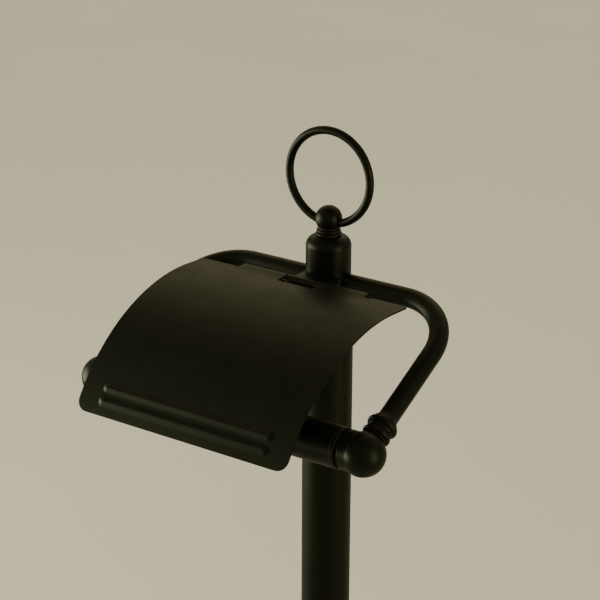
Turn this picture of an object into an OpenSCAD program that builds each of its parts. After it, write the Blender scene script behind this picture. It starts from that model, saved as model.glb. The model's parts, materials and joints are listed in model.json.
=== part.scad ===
// Free-standing toilet paper holder: weighted base, tubular post, turned head,
// bent-tube hoop with ball ends, telescoping spring roller and hinged hood.
// Millimetres. The origin is on the floor under the post's axis, +Z is up,
// X runs along the roller and -Y points to the front, where the roller is.

/* [Stand] */
// Height of the roller's axis above the floor
roller_height = 566; // [420:1:700]
// Distance from the post's axis forward to the roller's axis
reach = 95.1; // [88:0.1:102]
// Outside diameter of the post
post_d = 28.6; // [28:0.1:30]
// Outside diameter of the weighted base
base_d = 184; // [170:1:230]

/* [Hoop] */
// Distance between the centres of the two ball ends
hoop_w = 170; // [166:1:178]
// Height of the hoop's back bar above the roller's axis
bar_rise = 46.8; // [44:0.1:50]
// Outside diameter of the hoop's tube
tube_d = 10.7; // [10:0.1:11]
// Radius of the hoop's two bends, to the tube's axis
bend_r = 34; // [26:1:38]
// Diameter of the ball ends
ball_d = 23.5; // [22:0.1:26]

/* [Head] */
// Diameter of the collar that the hoop passes through
collar_d = 25.4; // [24:0.1:27]
// Outside diameter of the lifting ring
ring_d = 57; // [48:1:64]
// Thickness of the lifting ring's wire
ring_wire = 4.6; // [3.5:0.1:5]

/* [Hood] */
// Width of the hood's sheet, along the roller
hood_w = 134; // [124:1:138]
// Radius of the hood's outer face
hood_r = 105; // [103:0.5:107]
// Thickness of the hood's sheet
sheet_t = 0.9; // [0.8:0.1:1.2]

/* [Roller] */
// Diameter of the roller's outer tube
roller_d = 22.2; // [21:0.1:23]

/* [Hidden] */
$fn = 96;

// Colours
BRONZE = [0.09, 0.085, 0.07];
STEEL = [0.55, 0.55, 0.56];
IRON = [0.20, 0.20, 0.21];
RUBBER = [0.08, 0.08, 0.08];
NYLON = [0.85, 0.84, 0.80];

// Base
pad_t = 2;
shell_t = 1.6;
base_r = base_d / 2;
rim_h = 6;                              // upright rim of the base, above the pad
shell_top = 32;                         // level of the flat that the post stands on
shell_flat_r = 24;                      // radius of that flat
ledge_z = pad_t + rim_h + 2;            // flat ledge between the rim and the dome
dome_foot_r = base_r - 8;
dome_drop = shell_top - ledge_z;
dome_r = ((dome_foot_r - shell_flat_r) ^ 2 + dome_drop ^ 2) / (2 * dome_drop);
// Steps of the cast weight, from its foot up: radius and level of each top
weight_steps = [[base_r - shell_t - 0.6, ledge_z - 4], [base_r - 13, ledge_z - 1],
    [base_r - 27, 18], [base_r - 47, 26], [shell_flat_r - 2, shell_top - shell_t]];
nut_af = 13;                            // hexagon nut, across flats
nut_h = 6.5;
nut_pocket_r = 13;
nut_z = 4.5;
washer_t = 1.6;
rod_r = 4;                              // tie rod, M8
rod_hole_r = 4.3;

// Post
post_r = post_d / 2;
foot_beads = [[post_r + 6.6, 3, 3], [post_r + 4.2, 9.5, 2.4]];
foot_ring_h = 16;
post_wall = 1.5;
post_bore_r = post_r - post_wall;
post_top = roller_height + 26;
post_joint = 300;                       // level where the two lengths of post meet
coupler_l = 50;
plug_l = 24;
inner_gap = 0.05;                       // between pieces that slide into each other

// Collar and finial, levels measured from the roller's axis
collar_r = collar_d / 2;
collar_foot = 26;
collar_top = 72.4;
shoulder_r = 5.8;
spigot_r = 5;
spigot_l = 12;
finial_stud_r = 3;
finial_stud_l = 9;
finial_beads = [[7.3, collar_top + 1.05, 1.05], [6.8, collar_top + 2.9, 0.95],
    [6.2, collar_top + 4.5, 0.75]];
finial_neck_r = 5.8;
finial_ball_z = 82;
finial_ball_r = 7.5;
ring_mid_r = ring_d / 2 - ring_wire / 2;
ring_z = finial_ball_z - 2.5 + ring_mid_r;
grub_r = 2;

// Hoop: each leg runs from the bar's level down to a ball end
tube_r = tube_d / 2;
tube_bore_r = tube_r - 1.2;
leg_x = hoop_w / 2;
leg_tilt = atan2(bar_rise, reach);      // slope of the legs below level
leg_l = sqrt(reach * reach + bar_rise * bar_rise);
ball_r = ball_d / 2;
leg_beads = [[7.7, 13.2, 1.9], [8.3, 19.4, 2.4]];
ferrule_h = 12;
leg_end = 11;                           // gap from a ball's centre to its leg's end
stud_r = 3;

// Ball ends, distances from the middle of the roller
boss_r = 10.7;
boss_face = leg_x - 10;
socket_r = 4.5;
socket_l = 9.5;
bush_flange_r = 6.5;
bush_flange_t = 0.5;
pin_r = 3;
pin_gap = 0.06;

// Hood: an arc about a centre below it, a flat stretch, then knuckles about the hinge's axis
arc_y = 47.7;
arc_z = -50.8;
lip_angle = 60;                         // lower edge, from upright towards the front
flat_from = 55;                         // the arc ends here and the sheet goes on straight
hood_back = 68.5;                       // plain rear edge
hinge_y = 72;
hinge_z = 50.9;
hinge_pin_r = 2;
knuckle_r = 3;
knuckle_gap = 0.05;
knuckle_in = 11.5;                      // the hood's knuckles start here
knuckle_out = 41;                       // and end here
notch_y = 62;                           // front of the notch for the centre knuckle
relief_w = 3.6;                         // slit beside each knuckle, so that it can be rolled
relief_y = 67.1;                        // front of that slit
above_all = 20;                         // height of a cutter that clears the sheet
lip_corner_r = 6.5;
back_corner_r = 2;
rib_r = 3.2;                            // outer radius of a pressed rib
rib_sink = 2.1;                         // its axis lies this far under the outer face
rib_l = 109;
rib_at = [8, 15.3];                     // up the sheet from the lower edge
barrel_half = 11;                       // half the bracket's own knuckle
web_t = 3;
web_top = hinge_z + 0.4;
saddle_half = 8;
saddle_t = 2;
saddle_foot = 31;
bracket_screw_z = 36;
screw_head_r = 3.5;
screw_head_t = 2;
stop_gap = 0.3;
stop_t = 1.6;
stop_half = 10;
stop_front = 58;

// Roller
roller_r = roller_d / 2;
roller_face = boss_face - bush_flange_t - 0.9;
roller_wall = 1;
sleeve_r = roller_r - roller_wall - inner_gap;
cap_t = 2.2;
outer_from = -8;                        // open end of the outer tube
inner_to = 45;                          // inner end of the inner tube
plug_t = 2;
spring_r = 6.6;                         // to the middle of the wire
spring_wire = 1.2;
spring_turns = 8;

// ---------- placing ----------

// Head parts are drawn about the middle of the roller's axis
module at_head() translate([0, -reach, roller_height]) children();

// Turns a piece about Z into one about X, its +Z end to +X
module along_x() rotate([0, 90, 0]) children();

// Leg axis: +Z points from a ball's centre up its leg, side is -1 or 1
module at_leg(side) translate([side * leg_x, 0, 0]) rotate([leg_tilt - 90, 0, 0]) children();

// ---------- outlines ----------

// Points of an arc about [cx, cy] from angle a0 to a1
function arc_pts(cx, cy, r, a0, a1, n = 10) =
    [for (i = [0 : n]) let (a = a0 + (a1 - a0) * i / n) [cx + r * cos(a), cy + r * sin(a)]];

// Outline of the base shell from its rim in to its flat top, inset by t
function shell_pts(t) = concat(
    [[base_r - t, pad_t]],
    arc_pts(base_r - 3, ledge_z - 3, 3 - t, 0, 90, 8),
    arc_pts(shell_flat_r, shell_top - dome_r, dome_r - t,
        asin((dome_r - dome_drop - t) / (dome_r - t)), 90, 20)
);

// Half section of a turned bead: [radius to its crest, level, half its height]
module bead(b) translate([b[0] - b[2], b[1]]) circle(b[2], $fn = 40);

module ring_tube(r_out, r_in, h) difference() {
    cylinder(r = r_out, h = h);
    translate([0, 0, -1]) cylinder(r = r_in, h = h + 2);
}

// Sector of a ring about X through [arc_y, arc_z]; 0 is upright, positive leans forward
module arc_sheet(r_out, r_in, w, a_back, a_front)
    translate([-w / 2, arc_y, arc_z])
        rotate([90, 0, 90])
            rotate([0, 0, 90 + a_back])
                rotate_extrude_sector(r_out, r_in, w, a_front - a_back);

module rotate_extrude_sector(r_out, r_in, w, span)
    rotate_extrude(angle = span, $fn = 360) translate([r_in, 0]) square([r_out - r_in, w]);

// ---------- base ----------

module floor_pad() color(RUBBER)
    cylinder(r = base_r - 4, h = pad_t);

module base_weight() color(IRON)
    difference() {
        for (step = weight_steps)
            translate([0, 0, pad_t]) cylinder(r = step[0], h = step[1] - pad_t);
        translate([0, 0, -1]) cylinder(r = rod_hole_r, h = shell_top + 2);
        translate([0, 0, -1]) cylinder(r = nut_pocket_r, h = nut_z + nut_h + washer_t + 1);
    }

module base_shell() color(BRONZE)
    difference() {
        rotate_extrude($fn = 120) polygon(concat([[0, pad_t]], shell_pts(0), [[0, shell_top]]));
        rotate_extrude($fn = 120)
            polygon(concat([[0, pad_t - 1], [base_r - shell_t, pad_t - 1]],
                shell_pts(shell_t), [[0, shell_top - shell_t]]));
        translate([0, 0, pad_t]) cylinder(r = rod_hole_r + 0.5, h = shell_top);
    }

// Turned ring that hides the foot of the post, with the same two beads as the legs
module base_ring() color(BRONZE)
    translate([0, 0, shell_top])
        rotate_extrude() difference() {
            union() {
                for (b = foot_beads) bead(b);
                polygon([[post_r, 0], [foot_beads[0][0] - 0.6, 0],
                    [foot_beads[0][0] - 0.6, foot_beads[0][1]],
                    [post_r + 3.4, foot_beads[1][1]], [post_r + 3, foot_beads[1][1]],
                    [post_r + 1.2, foot_ring_h], [post_r, foot_ring_h]]);
            }
            square([post_r + inner_gap, 2 * foot_ring_h]);
        }

module tie_rod() color(STEEL)
    translate([0, 0, nut_z - 1.5]) cylinder(r = rod_r, h = post_top - plug_l + 8 - nut_z + 1.5);

module tie_rod_nut() color(STEEL)
    translate([0, 0, nut_z]) difference() {
        cylinder(d = nut_af / cos(30), h = nut_h, $fn = 6);
        translate([0, 0, -1]) cylinder(r = rod_r, h = nut_h + 2);
    }

module tie_rod_washer() color(STEEL)
    translate([0, 0, nut_z + nut_h]) ring_tube(10, rod_hole_r, washer_t);

// ---------- post ----------

module lower_post() color(BRONZE)
    translate([0, 0, shell_top]) ring_tube(post_r, post_bore_r, post_joint - shell_top);

module upper_post() color(BRONZE)
    translate([0, 0, post_joint]) ring_tube(post_r, post_bore_r, post_top - post_joint);

module post_coupler() color(STEEL)
    translate([0, 0, post_joint - coupler_l / 2])
        ring_tube(post_bore_r - inner_gap, post_bore_r - 2.5, coupler_l);

module post_top_plug() color(STEEL)
    translate([0, 0, post_top - plug_l]) difference() {
        cylinder(r = post_bore_r - inner_gap, h = plug_l);
        translate([0, 0, -1]) cylinder(r = rod_r, h = 10);
        translate([0, 0, plug_l - spigot_l - 0.5]) cylinder(r = spigot_r, h = spigot_l + 2);
    }

// ---------- head ----------

module collar() color(BRONZE)
    at_head() translate([0, reach, 0]) difference() {
        rotate_extrude() polygon(concat(
            [[0, collar_foot - spigot_l], [spigot_r, collar_foot - spigot_l],
             [spigot_r, collar_foot], [post_r, collar_foot]],
            arc_pts(post_r - 1.2, collar_foot + 1.8, 1.2, 0, 90, 6),
            [[collar_r, collar_foot + 4.2]],
            arc_pts(collar_r - shoulder_r, collar_top - shoulder_r, shoulder_r, 0, 90, 14),
            [[0, collar_top]]));
        translate([-20, 0, bar_rise]) along_x() cylinder(r = tube_r + inner_gap, h = 40);
        translate([0, 0, collar_top - finial_stud_l - 0.5]) cylinder(r = finial_stud_r, h = 20);
        translate([0, 0, bar_rise]) rotate([-90, 0, 0]) cylinder(r = grub_r, h = 20);
        translate([0, 0, bracket_screw_z]) rotate([90, 0, 0]) cylinder(r = grub_r, h = 20);
    }

module collar_grub_screw() color(STEEL)
    at_head() translate([0, reach + tube_r, bar_rise]) rotate([-90, 0, 0]) difference() {
        cylinder(r = grub_r, h = 6);
        translate([0, 0, 3.5]) cylinder(r = 1, h = 5, $fn = 6);
    }

module finial() color(BRONZE)
    at_head() translate([0, reach, 0]) difference() {
        union() {
            rotate_extrude() difference() {
                union() {
                    translate([0, collar_top])
                        square([finial_neck_r, finial_ball_z - collar_top - finial_ball_r / 2]);
                    for (b = finial_beads) bead(b);
                }
                translate([-collar_r, 0]) square([collar_r, 2 * collar_top]);
            }
            translate([0, 0, finial_ball_z]) sphere(r = finial_ball_r);
            translate([0, 0, collar_top - finial_stud_l])
                cylinder(r = finial_stud_r, h = finial_stud_l + 1);
        }
        translate([0, 0, ring_z]) rotate([90, 0, 0])
            rotate_extrude() translate([ring_mid_r, 0]) circle(ring_wire / 2 + inner_gap, $fn = 48);
    }

module lifting_ring() color(BRONZE)
    at_head() translate([0, reach, ring_z]) rotate([90, 0, 0])
        rotate_extrude() translate([ring_mid_r, 0]) circle(ring_wire / 2, $fn = 48);

// ---------- hoop ----------

// The hoop's whole run as a solid of radius r, its legs longer by extra
module hoop_run(r, extra = 0) {
    bar_half = leg_x - bend_r;
    translate([-bar_half, reach, bar_rise]) rotate([leg_tilt, 0, 0]) along_x() rotate([0, 0, 90])
        cylinder(r = r, h = 2 * bar_half);
    for (side = [-1, 1])
        translate([side * bar_half, reach, bar_rise]) rotate([leg_tilt, 0, 0])
            translate([0, -bend_r, 0]) {
                rotate([0, 0, side > 0 ? 0 : 90])
                    rotate_extrude(angle = 90) translate([bend_r, 0]) circle(r, $fn = 64);
                translate([side * bend_r, 0, 0]) rotate([90, 0, 0])
                    cylinder(r = r, h = leg_l - bend_r - leg_end + extra);
            }
}

module hoop() color(BRONZE)
    at_head() difference() {
        hoop_run(tube_r);
        hoop_run(tube_bore_r, 1);
    }

// Turned sleeve at the foot of a leg: two beads, a groove between them, and a cove above
module leg_bead(side) color(BRONZE)
    at_head() at_leg(side) rotate_extrude() difference() {
        union() {
            translate([0, leg_end - 0.4]) square([tube_r + 1.2, ferrule_h]);
            for (b = leg_beads) {
                bead(b);
                translate([0, b[1] - b[2] + 0.2]) square([tube_r + 1.2, 2 * b[2] - 0.4]);
            }
            difference() {
                translate([0, leg_beads[1][1]]) square([tube_r + 2.4, 5.6]);
                translate([tube_r + 3.1, leg_beads[1][1] + 5.8]) circle(3, $fn = 48);
            }
        }
        translate([-1, 0]) square([tube_r + inner_gap + 1, 4 * leg_end]);
    }

module leg_bead_left() leg_bead(-1);
module leg_bead_right() leg_bead(1);

// Stepped studs: the thick end is pressed into the leg, the thin end screws into the ball
module leg_studs() color(STEEL)
    at_head() for (side = [-1, 1]) at_leg(side) {
        translate([0, 0, 6]) cylinder(r = stud_r, h = 8);
        translate([0, 0, 13]) cylinder(r = tube_bore_r, h = 15);
    }

// Turned in one piece: a ball, and a boss faced off square and bored for its bush
module ball_end(side) color(BRONZE)
    at_head() difference() {
        translate([side * boss_face, 0, 0]) rotate([0, side * 90, 0])
            rotate_extrude() difference() {
                union() {
                    translate([0, leg_x - boss_face]) circle(ball_r);
                    polygon(concat([[0, 0], [boss_r - 0.8, 0]],
                        arc_pts(boss_r - 0.8, 0.8, 0.8, 270, 360, 4),
                        [[boss_r, leg_x - boss_face - 1], [0, leg_x - boss_face - 1]]));
                }
                translate([-ball_d, -ball_d]) square([ball_d, 3 * ball_d]);
                translate([-1, -ball_d]) square([ball_d, ball_d]);
                translate([-1, -1]) square([socket_r + 1, socket_l + 1]);
            }
        at_leg(side) translate([0, 0, 5.5]) cylinder(r = stud_r, h = 10);
    }

module ball_end_left() ball_end(-1);
module ball_end_right() ball_end(1);

module socket_bush(side) color(NYLON)
    at_head() translate([side * boss_face, 0, 0]) rotate([0, side * 90, 0]) difference() {
        union() {
            cylinder(r = socket_r, h = socket_l - 0.5);
            translate([0, 0, -bush_flange_t]) cylinder(r = bush_flange_r, h = bush_flange_t);
        }
        translate([0, 0, -2]) cylinder(r = pin_r + pin_gap, h = socket_l + 4);
    }

module socket_bush_left() socket_bush(-1);
module socket_bush_right() socket_bush(1);

// ---------- hood and hinge ----------

// Places a piece at an angle on the hood's outer face: +Z leaves the sheet,
// +Y runs down it towards the lower edge
module on_sheet(angle) translate([0, arc_y, arc_z]) rotate([angle, 0, 0])
    translate([0, 0, hood_r]) mirror([0, 1, 0]) children();

function sheet_angle(y) = asin((arc_y - y) / hood_r);
function rib_angle(up) = lip_angle - up / hood_r * 180 / PI;

// Cuts a square corner to radius r; the corner is at the origin, the sheet on +X, -Y
module corner_cut(r) translate([0, 0, -4]) linear_extrude(8) difference() {
    translate([-1, -r]) square([r + 1, r + 1]);
    translate([r, -r]) circle(r + 0.05, $fn = 48);
}

// A rib's round end in small steps, from its tip out to its full radius
function rib_end(r) = [for (i = [0 : 6]) let (a = 15 * i) [r * sin(a), rib_l / 2 - r + r * cos(a)]];

module rib(r) along_x() rotate_extrude() polygon(concat(
    [for (p = rib_end(r)) [p[0], -p[1]]], [for (i = [6 : -1 : 0]) rib_end(r)[i]]));

module hinge_rod(r, x0, x1) translate([x0, hinge_y, hinge_z]) along_x() cylinder(r = r, h = x1 - x0);

module hood() color(BRONZE)
    at_head() difference() {
        union() {
            arc_sheet(hood_r, hood_r - sheet_t, hood_w + 4, sheet_angle(flat_from), lip_angle);
            on_sheet(sheet_angle(flat_from)) rotate([90, 0, -90]) flat_stretch(hinge_y - flat_from);
            for (side = [0, 1]) mirror([side, 0, 0]) hinge_rod(knuckle_r, knuckle_in, knuckle_out);
            difference() {
                for (up = rib_at) on_sheet(rib_angle(up)) translate([0, 0, -rib_sink]) rib(rib_r);
                arc_sheet(hood_r - sheet_t, hood_r - 20, hood_w, -30, 90);
            }
        }
        for (up = rib_at) on_sheet(rib_angle(up)) translate([0, 0, -rib_sink]) rib(rib_r - sheet_t);
        hinge_rod(hinge_pin_r + knuckle_gap, -hood_w, hood_w);
        behind(-knuckle_in, knuckle_in, notch_y);
        for (side = [0, 1]) mirror([side, 0, 0]) {
            translate([hood_w / 2, -hood_r, -hood_r]) cube(3 * hood_r);
            behind(knuckle_out, hood_w, hood_back);
            behind(knuckle_out, knuckle_out + relief_w, relief_y);
            on_sheet(lip_angle) translate([-hood_w / 2, 0, 0]) corner_cut(lip_corner_r);
            translate([-hood_w / 2, hood_back, hinge_z]) corner_cut(back_corner_r);
        }
    }

// The sheet's straight end, l long; its front is a wedge that lies inside the end of the arc
module flat_stretch(l) translate([0, 0, -hood_w / 2 - 1]) linear_extrude(hood_w + 2)
    polygon([[-1.5, -sheet_t / 2], [0.5, 0.01], [l, 0.01], [l, -sheet_t - 0.01],
        [0.5, -sheet_t - 0.01]]);

// Block that cuts the sheet away from x0 to x1 behind y
module behind(x0, x1, y) translate([x0, y, hinge_z - above_all / 2]) cube([x1 - x0, above_all, above_all]);

module hinge_bracket() color(BRONZE)
    at_head() difference() {
        union() {
            hinge_rod(knuckle_r, -barrel_half, barrel_half);
            // Web from the knuckle back to the collar
            translate([-barrel_half, hinge_y, web_top - web_t])
                cube([2 * barrel_half, reach - hinge_y, web_t]);
            // Saddle down the collar's front
            intersection() {
                translate([0, reach, saddle_foot])
                    cylinder(r = collar_r + saddle_t, h = web_top - saddle_foot);
                translate([-saddle_half, hinge_y, saddle_foot])
                    cube([2 * saddle_half, reach - hinge_y, web_top - saddle_foot]);
            }
            // Stop under the sheet's edge, in front of the knuckle
            arc_sheet(hood_r - sheet_t - stop_gap, hood_r - sheet_t - stop_gap - stop_t,
                2 * stop_half, sheet_angle(hinge_y - 1), sheet_angle(stop_front));
        }
        hinge_rod(hinge_pin_r, -2 * barrel_half, 2 * barrel_half);
        translate([0, reach, 0]) cylinder(r = collar_r, h = collar_top);
        translate([0, reach, bracket_screw_z]) rotate([90, 0, 0]) cylinder(r = grub_r, h = reach);
    }

module bracket_screw() color(STEEL)
    at_head() translate([0, reach - collar_r / 2, bracket_screw_z]) rotate([90, 0, 0]) {
        cylinder(r = grub_r, h = collar_r / 2 + saddle_t + 0.5);
        translate([0, 0, collar_r / 2 + saddle_t]) difference() {
            cylinder(r = screw_head_r, h = screw_head_t);
            translate([0, 0, screw_head_t - 1.2]) cylinder(r = 1.3, h = 2, $fn = 6);
        }
    }

module hinge_pin() color(STEEL)
    at_head() hinge_rod(hinge_pin_r, -knuckle_out, knuckle_out);

// ---------- roller ----------

module x_tube(x0, x1, r_out, r_in) translate([x0, 0, 0]) along_x() ring_tube(r_out, r_in, x1 - x0);

module roller_outer_tube() color(BRONZE)
    at_head() x_tube(outer_from, roller_face - cap_t, roller_r, roller_r - roller_wall);

module roller_inner_tube() color(BRONZE)
    at_head() x_tube(-roller_face + cap_t, inner_to, sleeve_r, sleeve_r - roller_wall);

// End cap with its pin, about +X, for a tube of bore r_in and outer radius r_out
module roller_cap(r_out, r_in) along_x() {
    rotate_extrude() polygon(concat(
        [[0, roller_face - cap_t - 4], [r_in, roller_face - cap_t - 4], [r_in, roller_face - cap_t],
         [r_out, roller_face - cap_t]],
        arc_pts(r_out - 0.9, roller_face - 0.9, 0.9, 0, 90, 6),
        [[pin_r + 1.5, roller_face], [pin_r + 1.5, roller_face + 0.6],
         [pin_r, roller_face + 0.6], [pin_r, roller_face + 8.6], [pin_r - 1, roller_face + 9.6],
         [0, roller_face + 9.6]]));
}

module roller_cap_right() color(BRONZE)
    at_head() roller_cap(roller_r, roller_r - roller_wall);

module roller_cap_left() color(BRONZE)
    at_head() mirror([1, 0, 0]) roller_cap(sleeve_r, sleeve_r - roller_wall);

module roller_inner_plug() color(NYLON)
    at_head() translate([inner_to - plug_t, 0, 0]) along_x()
        cylinder(r = sleeve_r - roller_wall, h = plug_t);

// Coil spring: rings of points carried along a helix from x0 to x1
function helix_point(t, x0, x1) =
    [x0 + (x1 - x0) * t, spring_r * cos(360 * spring_turns * t), spring_r * sin(360 * spring_turns * t)];
function wire_ring(t, x0, x1, sides) = let (p = helix_point(t, x0, x1), a = 360 * spring_turns * t)
    [for (j = [0 : sides - 1]) let (b = 360 * j / sides, out = spring_wire / 2 * cos(b))
        [p[0] + spring_wire / 2 * sin(b), p[1] + out * cos(a), p[2] + out * sin(a)]];

module coil(x0, x1, sides = 8, per_turn = 24) {
    rings = spring_turns * per_turn;
    points = [for (i = [0 : rings]) each wire_ring(i / rings, x0, x1, sides)];
    walls = [for (i = [0 : rings - 1]) for (j = [0 : sides - 1]) let (k = (j + 1) % sides)
        [i * sides + j, i * sides + k, (i + 1) * sides + k, (i + 1) * sides + j]];
    ends = [[for (j = [sides - 1 : -1 : 0]) j], [for (j = [0 : sides - 1]) rings * sides + j]];
    polyhedron(points, concat(walls, ends));
}

module roller_spring() color(STEEL)
    at_head() coil(inner_to + spring_wire / 2 + 0.2, roller_face - cap_t - 4 - spring_wire / 2 - 0.2);

// ---------- the assembly ----------

floor_pad();
base_weight();
base_shell();
base_ring();
tie_rod();
tie_rod_nut();
tie_rod_washer();
lower_post();
post_coupler();
upper_post();
post_top_plug();
collar();
collar_grub_screw();
finial();
lifting_ring();
hoop();
leg_bead_left();
leg_bead_right();
leg_studs();
ball_end_left();
ball_end_right();
socket_bush_left();
socket_bush_right();
hinge_bracket();
bracket_screw();
hinge_pin();
hood();
roller_outer_tube();
roller_cap_right();
roller_inner_tube();
roller_cap_left();
roller_inner_plug();
roller_spring();
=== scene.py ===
# %% [markdown]
# # A free-standing toilet paper holder with a hinged hood
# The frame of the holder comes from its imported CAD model: every node is in metres, at rest, with its
# place in its mesh. This script gives each visible piece a finer surface in the same place, and its finish.
# A piece that the eye sees is worked out again as a smooth surface with eased edges, because light on
# an eased edge is what tells turned metal from a plain solid.

# %% Load the frame
import json
import math

import bpy
import numpy as np
from mathutils import Matrix, Vector


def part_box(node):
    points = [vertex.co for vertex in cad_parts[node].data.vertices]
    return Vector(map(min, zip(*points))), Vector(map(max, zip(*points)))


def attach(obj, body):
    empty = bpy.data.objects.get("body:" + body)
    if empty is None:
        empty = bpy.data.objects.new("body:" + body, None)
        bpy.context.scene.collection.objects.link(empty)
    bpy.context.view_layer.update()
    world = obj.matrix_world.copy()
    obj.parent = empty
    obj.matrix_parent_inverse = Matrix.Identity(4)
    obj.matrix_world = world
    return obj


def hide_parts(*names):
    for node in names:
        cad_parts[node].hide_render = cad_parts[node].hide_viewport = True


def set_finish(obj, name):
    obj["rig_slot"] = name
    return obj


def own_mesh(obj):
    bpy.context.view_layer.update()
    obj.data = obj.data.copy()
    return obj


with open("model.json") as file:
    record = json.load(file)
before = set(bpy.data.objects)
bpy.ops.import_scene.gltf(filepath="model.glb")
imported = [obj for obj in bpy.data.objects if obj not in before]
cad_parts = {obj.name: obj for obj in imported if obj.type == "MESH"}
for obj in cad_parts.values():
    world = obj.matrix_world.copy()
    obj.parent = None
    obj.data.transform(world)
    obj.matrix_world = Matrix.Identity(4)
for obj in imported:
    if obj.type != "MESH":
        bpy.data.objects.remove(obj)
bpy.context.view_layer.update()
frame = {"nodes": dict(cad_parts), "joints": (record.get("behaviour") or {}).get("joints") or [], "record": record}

MM = 0.001
record = frame["record"]
slot_of = {part["node"]: part["material_slot"] for part in record["subparts"]}
body_of = {node: body for body, nodes in record["behaviour"]["bodies"].items() for node in nodes}
seat = next(mount for mount in record["mounts"] if mount["name"] == "roll_seat")
hinge = next(joint for joint in frame["joints"] if joint["name"] == "hood_hinge")
ROLLER = np.array(seat["pos_m"]) / MM
HINGE = np.array(hinge["pos_m"]) / MM - ROLLER
print("nodes", len(slot_of), "roller axis", ROLLER, "hinge from it", HINGE)

# %% [markdown]
# ## Sizes taken from the frame
# Anything that can be measured on a CAD node is measured, so that the finer surfaces stay where the model
# puts them. Lengths are in millimetres, because that is how such parts are dimensioned in a workshop, and
# pieces of the head are placed from the middle of the roller's axis.

# %% Measure the nodes


def span(node):
    """Lowest and highest corner of a node from the middle of the roller's axis, in millimetres."""
    low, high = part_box(node)
    return np.array(low) / MM - ROLLER, np.array(high) / MM - ROLLER


def half_width(node):
    """Half of a node's extent along X, in millimetres: the radius of an upright turned piece."""
    low, high = span(node)
    return (high[0] - low[0]) / 2


REACH = -ROLLER[1]
FLOOR = -ROLLER[2]
POST_R = half_width("upper_post")
BASE_R = half_width("base_shell")
PAD_TOP = span("floor_pad")[1][2]
SHELL_TOP = span("base_shell")[1][2]
POST_SEAM = span("upper_post")[0][2]
POST_TOP = span("upper_post")[1][2]
COLLAR_R = 12.7
COLLAR_TOP = span("collar")[1][2]
RING_R = half_width("lifting_ring")
RING_WIRE = (span("lifting_ring")[1][1] - span("lifting_ring")[0][1]) / 2
BALL_R = (span("ball_end_right")[1][2] - span("ball_end_right")[0][2]) / 2
BALL_X = span("ball_end_right")[1][0] - BALL_R
TUBE_R = half_width("hoop") - BALL_X
BAR_RISE = span("hoop")[1][2] - TUBE_R
print(f"reach {REACH:.1f}, post {POST_R:.1f}, ball {BALL_R:.2f} at {BALL_X:.1f}")
print(f"hoop's tube {TUBE_R:.2f}, its bar {BAR_RISE:.1f} above the roller's axis")

# %% [markdown]
# ## Surfaces from grids of points
# Every new piece is a grid of points worked out as whole arrays: one direction runs along an outline or a
# path, the other runs round it. Neighbouring points make a quad. The sign of the enclosed volume tells
# whether the faces point outwards, so a shape may be written in whichever direction reads best.

# %% Outline helpers


def arc(centre, radius, start, end, steps=10):
    """Points centre + radius * (cos a, sin a), with a running evenly from start to end in degrees."""
    angle = np.radians(np.linspace(start, end, steps))
    return np.column_stack([centre[0] + radius * np.cos(angle), centre[1] + radius * np.sin(angle)])


def eased(corners, cut=0.35, steps=4):
    """An open outline with its corners eased. Each inner corner P becomes the parabola
    (1-t)^2 A + 2t(1-t) P + t^2 B, where A and B lie cut before and after P. A guard point stands
    half as far again outside A and B, so that the flats beside the corner stay flat in the light."""
    points = np.asarray(corners, float)
    corner = points[1:-1, None]
    back, ahead = points[:-2, None] - corner, points[2:, None] - corner
    back_length = np.linalg.norm(back, axis=2, keepdims=True)
    ahead_length = np.linalg.norm(ahead, axis=2, keepdims=True)
    reach = np.minimum(cut, 0.3 * np.minimum(back_length, ahead_length))
    start, end = corner + reach * back / back_length, corner + reach * ahead / ahead_length
    t = np.linspace(0, 1, steps)[None, :, None]
    curve = (1 - t) ** 2 * start + 2 * t * (1 - t) * corner + t**2 * end
    guard = [corner + 1.5 * reach * back / back_length, curve, corner + 1.5 * reach * ahead / ahead_length]
    return np.vstack([points[:1], np.concatenate(guard, axis=1).reshape(-1, 2), points[-1:]])


print("a square corner eased has", len(eased([[0, 0], [1, 0], [1, 1]])), "points")

# %% Skin a grid


def skin(name, grid, wrap_rows=False, wrap_columns=False, poles=(None, None), keep=None):
    """A mesh object over grid, an array (rows, columns, 3) in millimetres from the roller's axis.
    A wrap joins the last row or column to the first, a pole closes the first or last row with a fan,
    and keep is a mask of the quads that exist. Faces turn outwards by the sign of the volume."""
    rows, columns = grid.shape[:2]
    index = np.arange(rows * columns).reshape(rows, columns)
    corner = np.pad(index, ((0, int(wrap_rows)), (0, int(wrap_columns))), mode="wrap")
    quads = np.stack([corner[:-1, :-1], corner[:-1, 1:], corner[1:, 1:], corner[1:, :-1]], axis=2)
    quads = (quads if keep is None else quads[keep]).reshape(-1, 4)
    points = [grid.reshape(-1, 3)]
    faces = quads.tolist()
    for end, pole in enumerate(poles):
        if pole is not None:
            ring = index[0] if end == 0 else index[-1][::-1]
            tip = np.full(columns, rows * columns + len(points) - 1)
            faces += np.column_stack([np.roll(ring, -1), ring, tip]).tolist()
            points.append(np.array([pole], float))
    points = np.vstack(points)
    fans = np.array([face for face in faces if len(face) == 3] or [[0, 0, 0]])
    halves = np.vstack([quads[:, [0, 1, 2]], quads[:, [0, 2, 3]], fans])
    a, b, c = (points[halves[:, k]] for k in range(3))
    if np.einsum("ij,ij->", a, np.cross(b, c)) < 0:
        faces = [face[::-1] for face in faces]
    mesh = bpy.data.meshes.new(name)
    mesh.from_pydata(((points + ROLLER) * MM).tolist(), [], faces)
    mesh.polygons.foreach_set("use_smooth", np.ones(len(mesh.polygons), bool))
    mesh.update()
    piece = bpy.data.objects.new(name, mesh)
    bpy.context.scene.collection.objects.link(piece)
    return piece


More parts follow.
